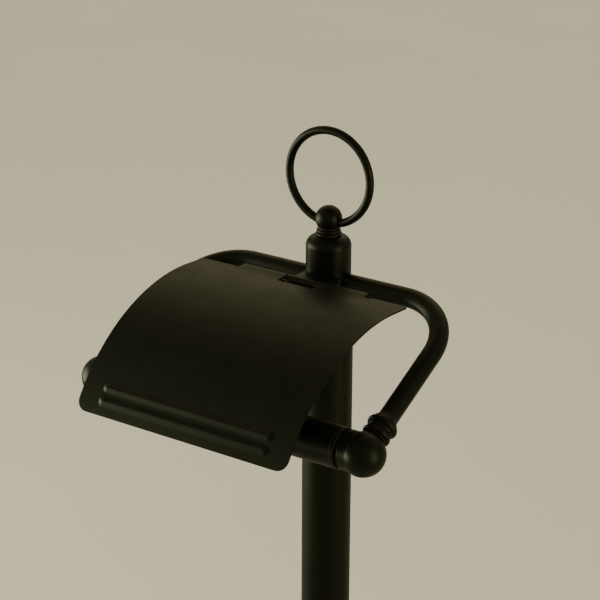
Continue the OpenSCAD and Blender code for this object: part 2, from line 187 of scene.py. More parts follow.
def turned(name, outline, foot=(0, 0, 0), axis=(0, 0, 1), sides=96):
    """A turned piece: foot + along * axis + radius * (cos a * u + sin a * v), for outline points
    (radius, along). An outline that starts or ends on the axis is closed there by a pole, and one that
    does neither is a ring, closed on itself."""
    outline, foot, axis = np.asarray(outline, float), np.asarray(foot, float), np.asarray(axis, float)
    axis = axis / np.linalg.norm(axis)
    u = np.cross(axis, [0.0, 1.0, 0.0] if abs(axis[1]) < 0.9 else [1.0, 0.0, 0.0])
    u /= np.linalg.norm(u)
    v = np.cross(axis, u)
    ends = [outline[k] for k in (0, -1)]
    poles = [foot + end[1] * axis if end[0] < 1e-6 else None for end in ends]
    body = outline[int(poles[0] is not None):len(outline) - int(poles[1] is not None)]
    body = body[np.append(True, np.linalg.norm(np.diff(body, axis=0), axis=1) > 1e-5)]
    angle = np.linspace(0, 2 * np.pi, sides, endpoint=False)
    around = np.cos(angle)[:, None] * u + np.sin(angle)[:, None] * v
    grid = foot + body[:, None, 1:] * axis + body[:, None, :1] * around[None]
    hollow = poles[0] is None and poles[1] is None
    return skin(name, grid, wrap_rows=hollow, wrap_columns=True, poles=poles)


def tube(name, path, radius, normal, sides=64):
    """A round tube: P + radius * (cos a * n + sin a * b) along a flat path, where n is the path's
    plane normal and b = tangent x n. Its ends are closed by fans."""
    path, normal = np.asarray(path, float), np.asarray(normal, float) / np.linalg.norm(normal)
    tangent = np.gradient(path, axis=0)
    tangent /= np.linalg.norm(tangent, axis=1, keepdims=True)
    side = np.cross(tangent, normal)
    angle = np.linspace(0, 2 * np.pi, sides, endpoint=False)
    ring = np.cos(angle)[None, :, None] * normal + np.sin(angle)[None, :, None] * side[:, None]
    return skin(name, path[:, None] + radius * ring, wrap_columns=True, poles=(path[0], path[-1]))


print("skin, turned and tube are ready")

# %% [markdown]
# ## Handing a finer surface over to the frame
# A finer surface takes the place of its CAD node: it rides on the same body, takes the same material slot
# and hides the node, which stays in the physics model for collision.

# %% Take the place of a node
pieces = []


def stand_for(piece, *nodes):
    """The piece takes the place, the body and the slot of its nodes."""
    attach(piece, body_of[nodes[0]])
    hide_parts(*nodes)
    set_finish(piece, slot_of[nodes[0]])
    pieces.append(piece)
    return piece


AXIS_POST = (0, REACH, 0)
print("the post's axis stands at", AXIS_POST)

# %% [markdown]
# ## The weighted base
# The base is a spun steel shell over an iron weight, on a rubber pad. It is a surface of revolution, and a
# lathe profile is the natural way to make one: a rim, a narrow ledge and one long shallow dome.

# %% Base
LEDGE = PAD_TOP + 8
RIM_R = 3
DOME_FOOT = BASE_R - 8
FLAT_R = 24
SHELL_T = 1.6
ROD_HOLE_R = 5
dome_drop = SHELL_TOP - LEDGE
dome_r = ((DOME_FOOT - FLAT_R) ** 2 + dome_drop**2) / (2 * dome_drop)
dome_end = math.degrees(math.asin((dome_r - dome_drop) / dome_r))


def shell_outline(inset):
    """The shell's outline from the foot of its rim to its flat top: a rounded rim, a ledge, then an arc
    of radius dome_r that meets the flat top without a corner."""
    rim = arc((BASE_R - RIM_R, LEDGE - RIM_R), RIM_R - inset, 0, 90, 10)
    dome = arc((FLAT_R, SHELL_TOP - dome_r), dome_r - inset, dome_end, 90, 36)
    return np.vstack([[[BASE_R - inset, PAD_TOP], [BASE_R - inset, LEDGE - RIM_R - 0.4]], rim, dome])


rod_hole = [[ROD_HOLE_R, SHELL_TOP], [ROD_HOLE_R, SHELL_TOP - SHELL_T]]
shell = np.vstack([shell_outline(0), rod_hole, shell_outline(SHELL_T)[::-1]])
stand_for(turned("spun_base", shell, AXIS_POST, sides=160), "base_shell")

pad_r = half_width("floor_pad")
pad = eased([[0, FLOOR], [pad_r, FLOOR], [pad_r, PAD_TOP], [0, PAD_TOP]], 0.6, 6)
stand_for(turned("rubber_pad", pad, AXIS_POST, sides=160), "floor_pad")

# the ring at the post's foot has a large bead, a smaller one above it and a slope up to the post
RING_H, GAP = 16, 0.05
LARGE, SMALL = 3, 2.4
foot_ring = np.vstack([
    [[POST_R + GAP, SHELL_TOP], [POST_R + 6, SHELL_TOP]],
    arc((POST_R + 6.6 - LARGE, SHELL_TOP + LARGE), LARGE, -80, 86, 20),
    arc((POST_R + 4.2 - SMALL, SHELL_TOP + 9.5), SMALL, -62, 78, 18),
    eased([[POST_R + 2.4, SHELL_TOP + 12.2], [POST_R + 1.2, SHELL_TOP + RING_H],
           [POST_R + GAP, SHELL_TOP + RING_H]], 0.4),
])
stand_for(turned("foot_ring", foot_ring, AXIS_POST, sides=128), "base_ring")
print("base pieces", [piece.name for piece in pieces])

# %% [markdown]
# ## The post
# Two lengths of steel tube meet end to end over a hidden coupler. Each end is broken by a small chamfer,
# so that the joint shows as a fine dark line, as it does on tubes that are screwed together.

# %% Post
POST_WALL = 1.5


def post_length(name, low, high):
    """A length of tube with broken edges, as a closed ring outline."""
    bore = POST_R - POST_WALL
    corners = [[bore, low + 20], [bore, low], [POST_R, low], [POST_R, high], [bore, high], [bore, high - 20]]
    return turned(name, eased(corners, 0.35), AXIS_POST)


stand_for(post_length("lower_tube", SHELL_TOP, POST_SEAM), "lower_post")
stand_for(post_length("upper_tube", POST_SEAM, POST_TOP), "upper_post")
print("post from", round(SHELL_TOP - FLOOR), "to", round(POST_TOP - FLOOR), "mm above the floor")

# %% [markdown]
# ## Collar, finial and lifting ring
# The collar is turned from bar: a short step over the post, a straight barrel that the hoop passes
# through, and a quarter-round shoulder. Three beads and a ball stand on it, and the lifting ring runs
# through the ball. Half circles in the lathe outline make the beads, as a form tool would.

# %% Collar and finial
COLLAR_FOOT = POST_TOP
SHOULDER = 5.8
collar = np.vstack([
    eased([[0, COLLAR_FOOT], [POST_R, COLLAR_FOOT], [POST_R, COLLAR_FOOT + 0.8]], 0.2),
    arc((POST_R - 1.2, COLLAR_FOOT + 1.8), 1.2, 20, 90, 8),
    eased([[COLLAR_R + 0.3, COLLAR_FOOT + 3.2], [COLLAR_R, COLLAR_FOOT + 4.2],
           [COLLAR_R, COLLAR_TOP - SHOULDER - 0.6]], 0.3),
    arc((COLLAR_R - SHOULDER, COLLAR_TOP - SHOULDER), SHOULDER, 0, 90, 20),
    [[COLLAR_R - SHOULDER - 0.6, COLLAR_TOP], [0, COLLAR_TOP]],
])
stand_for(turned("collar_barrel", collar, AXIS_POST), "collar")

BALL_TOP_R = 7.5
BALL_TOP_Z = COLLAR_TOP + 9.6
BEADS = [(7.3, 1.05, 1.05), (6.8, 2.9, 0.95), (6.2, 4.5, 0.75)]
finial = np.vstack(
    [[[0, COLLAR_TOP - 2], [5.5, COLLAR_TOP - 2]]]
    + [arc((crest - half, COLLAR_TOP + level), half, -82, 82, 14) for crest, level, half in BEADS]
    + [arc((0, BALL_TOP_Z), BALL_TOP_R, -38, 88, 40), [[0, BALL_TOP_Z + BALL_TOP_R]]])
stand_for(turned("finial_ball", finial, AXIS_POST), "finial")

RING_STEPS, WIRE_STEPS = 160, 40
ring_angle = np.linspace(0, 2 * np.pi, RING_STEPS, endpoint=False)
wire_angle = np.linspace(0, 2 * np.pi, WIRE_STEPS, endpoint=False)
ring_mid = RING_R - RING_WIRE
ring_z = span("lifting_ring")[1][2] - RING_R
out = ring_mid + RING_WIRE * np.cos(wire_angle)[None, :]
ring_grid = np.stack([
    out * np.cos(ring_angle)[:, None],
    np.broadcast_to(REACH + RING_WIRE * np.sin(wire_angle)[None, :], (RING_STEPS, WIRE_STEPS)),
    ring_z + out * np.sin(ring_angle)[:, None],
], axis=2)
stand_for(skin("lifting_loop", ring_grid, wrap_rows=True, wrap_columns=True), "lifting_ring")
print("ring", round(2 * RING_R, 1), "mm across, its middle", round(ring_z - FLOOR, 1), "mm above the floor")

# %% [markdown]
# ## The hoop
# One tube is bent twice into a wide U and tilted, so it is a circle carried along a flat path: a leg, a
# bend of constant radius, the bar, and the same again in reverse. A flat path needs no care about twist,
# because the plane's normal is one fixed side of the moving frame.

# %% Hoop
BEND_R = 34.0
LEG_L = math.hypot(REACH, BAR_RISE)
LEG = np.array([0, -REACH, -BAR_RISE]) / LEG_L
LEG_END = 11.0


def hoop_path(steps=40):
    """Middle of the tube. In the tilted plane, distance across is x and distance down the legs is s:
    the bends are quarter circles of radius BEND_R that touch the bar and the legs."""
    leg = np.column_stack([np.full(12, BALL_X), np.linspace(LEG_L - LEG_END, BEND_R, 12)])
    quarter = arc((BALL_X - BEND_R, BEND_R), BEND_R, 0, -90, steps)
    bar = np.column_stack([np.linspace(BALL_X - BEND_R, 0, 14), np.zeros(14)])
    half = np.vstack([leg[:-1], quarter, bar[1:]])
    flat = np.vstack([half, half[-2::-1] * [-1, 1]])
    return np.array([0, REACH, BAR_RISE]) + flat[:, :1] * [1, 0, 0] + flat[:, 1:] * LEG


hoop_plane = np.cross([1, 0, 0], LEG)
stand_for(tube("bent_hoop", hoop_path(), TUBE_R, hoop_plane), "hoop")

# distances up the leg from the ball's centre: lower bead, groove, upper bead, cove
SLEEVE_FOOT, SLEEVE_TOP = 10.6, 25.6
FERRULE = np.vstack([
    [[TUBE_R + GAP, SLEEVE_FOOT], [TUBE_R + 1.2, SLEEVE_FOOT], [TUBE_R + 1.2, LEG_END]],
    arc((7.7 - 1.9, 13.2), 1.9, -78, 70, 18),
    arc((TUBE_R + 2.1, 16.25), 0.9, 235, 125, 8),
    arc((8.3 - 2.4, 19.4), 2.4, -70, 74, 22),
    arc((TUBE_R + 3.1, 25.2), 3, 232, 180, 10),
    [[TUBE_R + GAP, SLEEVE_TOP]],
])
for side, hand in ((-1, "left"), (1, "right")):
    ferrule = turned(f"ferrule_{hand}", FERRULE, (side * BALL_X, 0, 0), -LEG, sides=96)
    stand_for(ferrule, f"leg_bead_{hand}")
print("hoop leg", round(LEG_L, 1), "mm long, tilted", round(math.degrees(math.asin(-LEG[2])), 1), "degrees")

# %% [markdown]
# ## Ball ends and their bushes
# Each leg ends in a ball with a short boss towards the roller, faced off square and bored for a nylon bush
# that carries the roller's pin. The outline starts at the bottom of the bore, so bore, face, boss and ball
# are one closed turned piece.

# %% Ball ends
BOSS_R = 10.7
BOSS_L = 10
BOSS_FACE = BALL_X - BOSS_L
SOCKET_R = 4.5
SOCKET_L = 9.5
boss_meets = BOSS_L - math.sqrt(BALL_R**2 - BOSS_R**2)
ball_start = math.degrees(math.asin((boss_meets - BOSS_L) / BALL_R))
ball = np.vstack([
    [[0, SOCKET_L]],
    eased([[0.5, SOCKET_L], [SOCKET_R, SOCKET_L], [SOCKET_R, 0], [BOSS_R - 0.8, 0]], 0.25),
    arc((BOSS_R - 0.8, 0.8), 0.8, -90, 0, 8),
    [[BOSS_R, boss_meets - 0.4]],
    arc((0, BOSS_L), BALL_R, ball_start + 3, 88, 48),
    [[0, BOSS_L + BALL_R]],
])
FLANGE_R, FLANGE_T, PIN_R = 6.5, 0.5, 3.0
BUSH_R, BUSH_BORE, BUSH_L = SOCKET_R - GAP, PIN_R + 0.06, SOCKET_L - 0.5
bush = np.vstack([
    [[BUSH_BORE, 4]],
    eased([[BUSH_BORE, 3], [BUSH_BORE, -FLANGE_T], [FLANGE_R, -FLANGE_T], [FLANGE_R, 0],
           [BUSH_R, 0.02], [BUSH_R, BUSH_L], [BUSH_BORE, BUSH_L], [BUSH_BORE, 5]], 0.12),
])
for side, hand in ((-1, "left"), (1, "right")):
    face = (side * BOSS_FACE, 0, 0)
    stand_for(turned(f"ball_{hand}", ball, face, (side, 0, 0), sides=112), f"ball_end_{hand}")
    stand_for(turned(f"bush_{hand}", bush, face, (side, 0, 0), sides=48), f"socket_bush_{hand}")
print("ball ends", round(2 * BALL_R, 1), "mm across")

# %% [markdown]
# ## The telescoping roller
# Two thin tubes slide in each other against a spring. The outer tube's open end is rolled in, which shows
# as a soft bright line where the tubes overlap, and each outer end is a pressed cap with its pin.

# %% Roller
outer_low, outer_high = span("roller_outer_tube")
inner_low, inner_high = span("roller_inner_tube")
OUTER_R = (outer_high[2] - outer_low[2]) / 2
INNER_R = (inner_high[2] - inner_low[2]) / 2
CAP_T = 2.2
CAP_FACE = CAP_T - inner_low[0]
PIN_L = 9.6
TUBE_WALL = 1.0


def sleeve(name, low, high, radius):
    """A thin tube about X from low to high, its ends rolled over by 0.5 mm."""
    bore = radius - TUBE_WALL
    corners = [[bore, low + 5], [bore, low], [radius, low], [radius, high], [bore, high], [bore, high - 5]]
    return turned(name, eased(corners, 0.5, 6), (0, 0, 0), (1, 0, 0))


def cap_outline(radius, bore):
    """A pressed cap about the roller's axis: plug, rounded rim, a small boss and the pin."""
    return np.vstack([
        eased([[0, CAP_FACE - 6], [bore, CAP_FACE - 6], [bore, CAP_FACE - CAP_T],
               [radius, CAP_FACE - CAP_T], [radius, CAP_FACE - CAP_T / 2]], 0.15),
        arc((radius - 0.9, CAP_FACE - 0.9), 0.9, 0, 90, 9),
        eased([[radius - 1.1, CAP_FACE], [PIN_R + 1.5, CAP_FACE], [PIN_R + 1.5, CAP_FACE + 0.6],
               [PIN_R, CAP_FACE + 0.6], [PIN_R, CAP_FACE + PIN_L - 1], [PIN_R - 1, CAP_FACE + PIN_L],
               [0, CAP_FACE + PIN_L]], 0.2),
    ])


stand_for(sleeve("outer_sleeve", outer_low[0], outer_high[0], OUTER_R), "roller_outer_tube")
stand_for(sleeve("inner_sleeve", inner_low[0], inner_high[0], INNER_R), "roller_inner_tube")
for side, hand, radius in ((1, "right", OUTER_R), (-1, "left", INNER_R)):
    cap = turned(f"cap_{hand}", cap_outline(radius, radius - TUBE_WALL), axis=(side, 0, 0))
    stand_for(cap, f"roller_cap_{hand}")
print("roller", round(2 * OUTER_R, 1), "and", round(2 * INNER_R, 1), "mm across")

# %% [markdown]
# ## The spring inside the roller
# A coil spring pushes the two halves of the roller apart. A point of its wire's middle is
# (X, r cos a, r sin a), where X grows evenly with a, except over the first and last part of a turn, where
# the coils lie close.

# %% Coil spring
WIRE_R, COIL_R, PRESSED = 0.6, 6.6, 10.0
TURNS, CLOSED, STEPS_A_TURN = 8, 0.75, 40
spring_low, spring_high = span("roller_spring")
spring_l = spring_high[0] - spring_low[0]
close = 2.1 * WIRE_R * CLOSED
turned_by = np.linspace(0, TURNS, TURNS * STEPS_A_TURN + 1)
levels = [WIRE_R, WIRE_R + close, spring_l - WIRE_R - close, spring_l - WIRE_R]
along = spring_low[0] + np.interp(turned_by, [0, CLOSED, TURNS - CLOSED, TURNS], levels)
a, b = 2 * np.pi * turned_by[:, None], np.linspace(0, 2 * np.pi, 14, endpoint=False)
out = COIL_R + WIRE_R * np.cos(b)
coil_grid = np.stack([along[:, None] + WIRE_R * np.sin(b), out * np.cos(a), out * np.sin(a)], axis=2)
coil_ends = (coil_grid[0].mean(0), coil_grid[-1].mean(0))
spring = skin("coil_spring", coil_grid, wrap_columns=True, poles=coil_ends)
stand_for(spring, "roller_spring")
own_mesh(spring)
print("spring", round(float(spring_l), 2), "mm long,", len(spring.data.vertices), "vertices")

# %% [markdown]
# ## The hood
# The hood is one bent steel sheet. Its section is an arc about a centre below it, and at the back narrow
# tongues of the same sheet are rolled round the hinge pin. So the piece is one long path in the YZ plane
# swept along X, with the quads of the notches left out, and Solidify gives it the sheet's thickness. The
# two ribs are pressed: both faces rise together, so they move the middle surface.

# %% Hood path
hood_low, hood_high = span("hood")
HOOD_W = hood_high[0] - hood_low[0]
SHEET_T = 0.9
OUTER = 105.0
ARC_Y, ARC_Z = 47.7, -50.8
MIDDLE = OUTER - SHEET_T / 2
LIP_ANGLE = 60.0
CORNER = 6.5
FLAT_FROM = 55.0
PIN_HOLE = 2.1
CURL_R = PIN_HOLE + SHEET_T / 2
NOTCH_Y, RISE_Y, SLIT_Y, PLAIN_Y = 62.0, 63.0, 67.1, 68.5
KNUCKLE_IN, KNUCKLE_OUT, SLIT_OUT = 11.5, 41.0, 44.6
RIBS, RIB_HALF, RIB_RISE, RIB_HALF_L = (8.0, 15.3), 2.9, 1.1, 54.5


def lean(y):
    """Angle from upright at which the arc's middle passes y, in degrees, positive to the front."""
    return math.degrees(math.asin((ARC_Y - y) / MIDDLE))


def on_arc(angle):
    """The arc's middle at angles from upright: centre + MIDDLE * (-sin a, cos a) in Y and Z."""
    a = np.radians(angle)
    return np.column_stack([ARC_Y - MIDDLE * np.sin(a), ARC_Z + MIDDLE * np.cos(a)])


def down_sheet():
    """Angles of the arc's rows, from the lip to where the sheet goes straight: close together over the
    rounded corners and the ribs, and wide apart over the plain sheet."""
    per_mm = math.degrees(1 / OUTER)
    corner = CORNER * (1 - np.cos(np.linspace(0, np.pi / 2, 12)))
    ribbed = np.arange(6.8, 19.6, 0.36)
    plain = np.linspace(20.5, (LIP_ANGLE - lean(FLAT_FROM)) / per_mm, 40)
    return LIP_ANGLE - per_mm * np.concatenate([corner, ribbed, plain])


# the straight end keeps the slope of the arc's end; a tongue rises from it to the crest of its curl, by a
# cubic that leaves along the straight line and arrives level
rows_flat = down_sheet()
end_slope = math.tan(math.radians(rows_flat[-1]))
flat_y = np.array([57.5, 60.0, NOTCH_Y, RISE_Y, 64.0, 65.0, 66.0, SLIT_Y, PLAIN_Y, 69.4, 70.2, 71.0,
                   HINGE[1]])
flat_z = on_arc(rows_flat[-1:])[0, 1] + (flat_y - FLAT_FROM) * end_slope
t = np.clip((flat_y - RISE_Y) / (HINGE[1] - RISE_Y), 0, 1)
leave = flat_z[flat_y == RISE_Y]
third = (HINGE[1] - RISE_Y) / 3
crest = HINGE[2] + CURL_R
tongue_z = (1 - t) ** 3 * leave + 3 * (1 - t) ** 2 * t * (leave + third * end_slope) \
    + (3 * (1 - t) * t**2 + t**3) * crest
lift_flat = np.where(flat_y > RISE_Y, tongue_z - flat_z, 0)
curl = arc((HINGE[1], HINGE[2]), CURL_R, 90, -172, 40)[1:]
path = np.vstack([on_arc(rows_flat), np.column_stack([flat_y, flat_z]), curl])
lift = np.concatenate([np.zeros(len(rows_flat)), lift_flat, np.zeros(len(curl))])
notch_row, slit_row, plain_row = (len(rows_flat) + int(np.argmax(flat_y == y))
                                  for y in (NOTCH_Y, SLIT_Y, PLAIN_Y))
print("hood path", len(path), "rows, ends", path[0].round(1), path[-1].round(1))

# %% Hood sheet


def across():
    """X of the columns over one half: close together at the rounded corner and the ribs' ends, and a
    column on each side of every notch."""
    half = HOOD_W / 2
    corner = half - CORNER * (1 - np.cos(np.linspace(0, np.pi / 2, 10)))
    middle = np.concatenate([np.linspace(0, KNUCKLE_IN, 6), np.linspace(KNUCKLE_IN, KNUCKLE_OUT, 13)[1:],
                             [42.8, SLIT_OUT, 46.5, 48.5], np.arange(49.5, 59.5, 0.6)])
    return np.concatenate([middle, corner[::-1]])


right = across()
columns = np.concatenate([-right[:0:-1], right])
x, row = np.meshgrid(columns, np.arange(len(path)))
FAR = 999.0
up_sheet = np.append(np.radians(LIP_ANGLE - rows_flat) * OUTER, np.full(len(path) - len(rows_flat), FAR))
up = up_sheet[row]

# the lip's corners: rows near the lip are drawn in to a quarter circle
short = CORNER - np.sqrt(np.clip(CORNER**2 - np.clip(CORNER - up, 0, CORNER) ** 2, 0, None))
x = x * (1 - short / (HOOD_W / 2))

# a rib's rise falls as a raised cosine with the distance from its middle line
rise = np.zeros_like(x)
for middle_line in RIBS:
    past_end = np.clip(np.abs(x) - (RIB_HALF_L - RIB_HALF), 0, None)
    distance = np.hypot(up - middle_line, past_end)
    rise += RIB_RISE * (0.5 + 0.5 * np.cos(np.pi * np.clip(distance / RIB_HALF, 0, 1)))
outward = path - [ARC_Y, ARC_Z]
outward /= np.linalg.norm(outward, axis=1, keepdims=True)
# the tongues' lift fades away beside them, by the cubic 3 t^2 - 2 t^3
beside = np.clip((np.abs(x) - KNUCKLE_OUT) / (SLIT_OUT + 2 - KNUCKLE_OUT), 0, 1)
beside = 1 - beside**2 * (3 - 2 * beside)
sheet_grid = np.stack([x, path[row, 0] + rise * outward[row, 0],
                       path[row, 1] + rise * outward[row, 1] + lift[row] * beside], axis=2)

# quads that exist: no sheet in the middle notch, in the slits beside the knuckles, or behind the plain edge
mid_x = np.abs((columns[:-1] + columns[1:]) / 2)[None, :]
mid_row = np.arange(len(path) - 1)[:, None]
tongue = (mid_x > KNUCKLE_IN) & (mid_x < KNUCKLE_OUT)
plain = (mid_x > KNUCKLE_OUT) & (mid_row < plain_row)
slit = (mid_x > KNUCKLE_OUT) & (mid_x < SLIT_OUT) & (mid_row >= slit_row)
keep = ((mid_row < notch_row) | tongue | plain) & ~slit
hood = skin("hood_sheet", sheet_grid, keep=keep)
print("hood", int(keep.sum()), "quads of", keep.size)

# %% Hood thickness
bpy.context.view_layer.objects.active = hood
thickness = hood.modifiers.new("sheet", "SOLIDIFY")
thickness.thickness = SHEET_T * MM
thickness.offset = 0
thickness.use_even_offset = True
edge = hood.modifiers.new("broken edge", "BEVEL")
edge.width = 0.18 * MM
edge.segments = 2
edge.limit_method = "ANGLE"
edge.angle_limit = math.radians(50)
stand_for(hood, "hood")

# %% [markdown]
# ## Where the finish has worn
# Handling rubs a coating thin where the metal turns outwards sharply, so each finer surface stores that as
# an attribute. The bend along an edge of the mesh is the change of normal along it, divided by its length,
# and its average at a vertex is about 0 on flats, 90 per metre on the hoop and 1000 on an eased edge.

# %% Mark the edges
EDGE_FROM, EDGE_FULL = 260.0, 1500.0


def mark_edges(piece):
    """Stores rub = clip((bend - EDGE_FROM) / (EDGE_FULL - EDGE_FROM), 0, 1) at each vertex, where bend is
    the mean of (n_b - n_a) . (p_b - p_a) / |p_b - p_a|^2 over the vertex's edges."""
    mesh = piece.data
    count = len(mesh.vertices)
    place, normal = np.zeros(count * 3), np.zeros(count * 3)
    pairs = np.zeros(len(mesh.edges) * 2, int)
    mesh.vertices.foreach_get("co", place)
    mesh.vertex_normals.foreach_get("vector", normal)
    mesh.edges.foreach_get("vertices", pairs)
    place, normal, pairs = place.reshape(-1, 3), normal.reshape(-1, 3), pairs.reshape(-1, 2)
    step = place[pairs[:, 1]] - place[pairs[:, 0]]
    turn = normal[pairs[:, 1]] - normal[pairs[:, 0]]
    bend = (turn * step).sum(1) / np.maximum((step * step).sum(1), 1e-12)
    ends = pairs.T.ravel()
    total = np.bincount(ends, np.tile(bend, 2), count) / np.maximum(np.bincount(ends, minlength=count), 1)
    rub = np.clip((total - EDGE_FROM) / (EDGE_FULL - EDGE_FROM), 0, 1)
    mesh.attributes.new("rub", "FLOAT", "POINT").data.foreach_set("value", rub.astype(np.float32))
    return float(rub.mean())


print("mean rub", {piece.name: round(mark_edges(piece), 3) for piece in pieces})

# %% [markdown]
# ## Effects that several finishes share
# Three effects come back in almost every finish: the fine skin of a sprayed coat, thin spots on handled
# edges, and a little dust on what faces up. Each is a node group with named inputs and outputs, built once.

# %% Node helpers


def group(name, inputs, outputs):
    """An empty node group with float inputs {name: default} and float outputs [name]."""
    tree = bpy.data.node_groups.new(name, "ShaderNodeTree")
    for label, default in inputs.items():
        socket = tree.interface.new_socket(label, in_out="INPUT", socket_type="NodeSocketFloat")
        socket.default_value = default
    for label in outputs:
        tree.interface.new_socket(label, in_out="OUTPUT", socket_type="NodeSocketFloat")
    return tree, tree.nodes.new("NodeGroupInput"), tree.nodes.new("NodeGroupOutput")


def node(tree, kind, settings=None, **values):
    """A node of that kind, with its settings and the values or links of its inputs. An input's name has
    _ for a space, and in0, in1 and so on are inputs by number."""
    made = tree.nodes.new("ShaderNode" + kind)
    for key, value in (settings or {}).items():
        setattr(made, key, value)
    for key, value in values.items():
        numbered = key[:2] == "in" and key[2:].isdigit()
        socket = made.inputs[int(key[2:]) if numbered else key.replace("_", " ")]
        if isinstance(value, bpy.types.NodeSocket):
            tree.links.new(value, socket)
        else:
            socket.default_value = value
    return made


def remap(tree, value, low, high, to_low, to_high):
    """The value brought from low..high to to_low..to_high, held at both ends."""
    made = node(tree, "MapRange", Value=value, From_Min=low, From_Max=high, To_Min=to_low, To_Max=to_high)
    return made.outputs["Result"]


print("node helpers are ready")

# %% Sprayed coat: height of its skin and its broad unevenness
coat, coat_in, coat_out = group("sprayed coat", {"Grain": 2600.0, "Patch": 90.0}, ["Height", "Unevenness"])
where = node(coat, "TexCoord").outputs["Object"]
peel = node(coat, "TexNoise", Vector=where, Scale=coat_in.outputs["Grain"], Detail=3.0, Roughness=0.55)
speck = node(coat, "TexVoronoi", {"feature": "SMOOTH_F1"}, Vector=where, Scale=coat_in.outputs["Grain"])
skin_height = node(coat, "Math", {"operation": "MULTIPLY_ADD"}, in0=speck.outputs["Distance"], in1=0.45,
                   in2=peel.outputs["Fac"])
patch = node(coat, "TexNoise", Vector=where, Scale=coat_in.outputs["Patch"], Detail=4.0, Roughness=0.6)
coat.links.new(skin_height.outputs[0], coat_out.inputs["Height"])
coat.links.new(patch.outputs["Fac"], coat_out.inputs["Unevenness"])
print(coat.name, [item.name for item in coat.interface.items_tree])

# %% Rubbed edges: where the coat is thin
rubbed, rubbed_in, rubbed_out = group("rubbed edges", {"Edge": 0.0, "Amount": 0.6, "Breakup": 420.0},
                                      ["Mask"])
where = node(rubbed, "TexCoord").outputs["Object"]
breakup = node(rubbed, "TexNoise", Vector=where, Scale=rubbed_in.outputs["Breakup"], Detail=5.0,
               Roughness=0.65)
uneven = remap(rubbed, breakup.outputs["Fac"], 0.35, 0.65, 0.25, 1.0)
spots = node(rubbed, "Math", {"operation": "MULTIPLY"}, in0=rubbed_in.outputs["Edge"], in1=uneven)
strength = node(rubbed, "Math", {"operation": "MULTIPLY", "use_clamp": True}, in0=spots.outputs[0],
                in1=rubbed_in.outputs["Amount"])
rubbed.links.new(strength.outputs[0], rubbed_out.inputs["Mask"])
print(rubbed.name, [item.name for item in rubbed.interface.items_tree])

# %% Settled dust: fine grey on what faces up
dust, dust_in, dust_out = group("settled dust", {"Amount": 0.1, "Scale": 1500.0}, ["Mask"])
where = node(dust, "TexCoord").outputs["Object"]
facing = node(dust, "SeparateXYZ", Vector=node(dust, "NewGeometry").outputs["Normal"]).outputs["Z"]
level = remap(dust, facing, 0.55, 1.0, 0.0, 1.0)
film = node(dust, "TexNoise", Vector=where, Scale=110.0, Detail=4.0)
mote = node(dust, "TexNoise", Vector=where, Scale=dust_in.outputs["Scale"], Detail=2.0)
fleck = remap(dust, mote.outputs["Fac"], 0.66, 0.76, 0.0, 1.0)
cover = node(dust, "Math", {"operation": "MULTIPLY_ADD"}, in0=fleck, in1=0.8,
             in2=remap(dust, film.outputs["Fac"], 0.4, 0.7, 0.0, 0.5))
lying = node(dust, "Math", {"operation": "MULTIPLY"}, in0=cover.outputs[0], in1=level)
amount = node(dust, "Math", {"operation": "MULTIPLY", "use_clamp": True}, in0=lying.outputs[0],
              in1=dust_in.outputs["Amount"])
dust.links.new(amount.outputs[0], dust_out.inputs["Mask"])
print(dust.name, [item.name for item in dust.interface.items_tree])

# %% [markdown]
# ## Finishes
# The holder has one dark bronze coating, sprayed on and satin. It is nearly black, with the warmth showing
# only where it is thin, so the base colour stays low and the highlights do the work: what matters is a
# roughness near 0.4 that wanders a little, and a skin too fine to see but rough enough to soften light.

# %% Finish helper


def finish(name):
    """An empty material, its node tree and its Principled BSDF."""
    material = bpy.data.materials.new(name)
    material.use_nodes = True
    return material, material.node_tree, material.node_tree.nodes["Principled BSDF"]


def blend_colour(tree, factor, first, second):
    """Colour first where factor is 0 and second where it is 1."""
    made = tree.nodes.new("ShaderNodeMix")
    made.data_type = "RGBA"
    tree.links.new(factor, made.inputs["Factor"])
    for socket, value in ((made.inputs["A"], first), (made.inputs["B"], second)):
        if isinstance(value, bpy.types.NodeSocket):
            tree.links.new(value, socket)
        else:
            socket.default_value = (*value, 1)
    return made.outputs["Result"]


def placed(tree, effect, **values):
    """A shared effect placed in a material, with its own values."""
    made = tree.nodes.new("ShaderNodeGroup")
    made.node_tree = effect
    for key, value in values.items():
        if isinstance(value, bpy.types.NodeSocket):
            tree.links.new(value, made.inputs[key])
        else:
            made.inputs[key].default_value = value
    return made.outputs


print("finish helpers are ready")

# %% Dark bronze coating
GREY_DUST = (0.16, 0.145, 0.12)


def bronze(name, dark, warm, rough, dusting):
    """Satin bronze: dark and warm are its colours where thick and where thin, rough its two roughnesses."""
    material, tree, shader = finish(name)
    spray = placed(tree, coat, Grain=2300.0, Patch=70.0)
    edge = node(tree, "Attribute", {"attribute_name": "rub"}).outputs["Fac"]
    thin = placed(tree, rubbed, Edge=edge, Amount=0.75)["Mask"]
    cloudy = remap(tree, spray["Unevenness"], 0.3, 0.7, 0.0, 0.35)
    body_colour = blend_colour(tree, cloudy, dark, warm)
    worn = blend_colour(tree, thin, body_colour, (0.062, 0.036, 0.02))
    dusty = placed(tree, dust, Amount=dusting, Scale=1300.0)["Mask"]
    tree.links.new(blend_colour(tree, dusty, worn, GREY_DUST), shader.inputs["Base Color"])
    tree.links.new(remap(tree, spray["Unevenness"], 0.3, 0.7, *rough), shader.inputs["Roughness"])
    bump = node(tree, "Bump", Height=spray["Height"], Strength=0.35, Distance=0.00003)
    tree.links.new(bump.outputs["Normal"], shader.inputs["Normal"])
    shader.inputs["Specular IOR Level"].default_value = 0.2
    shader.inputs["Specular Tint"].default_value = (0.95, 1, 0.66, 1)
    return material


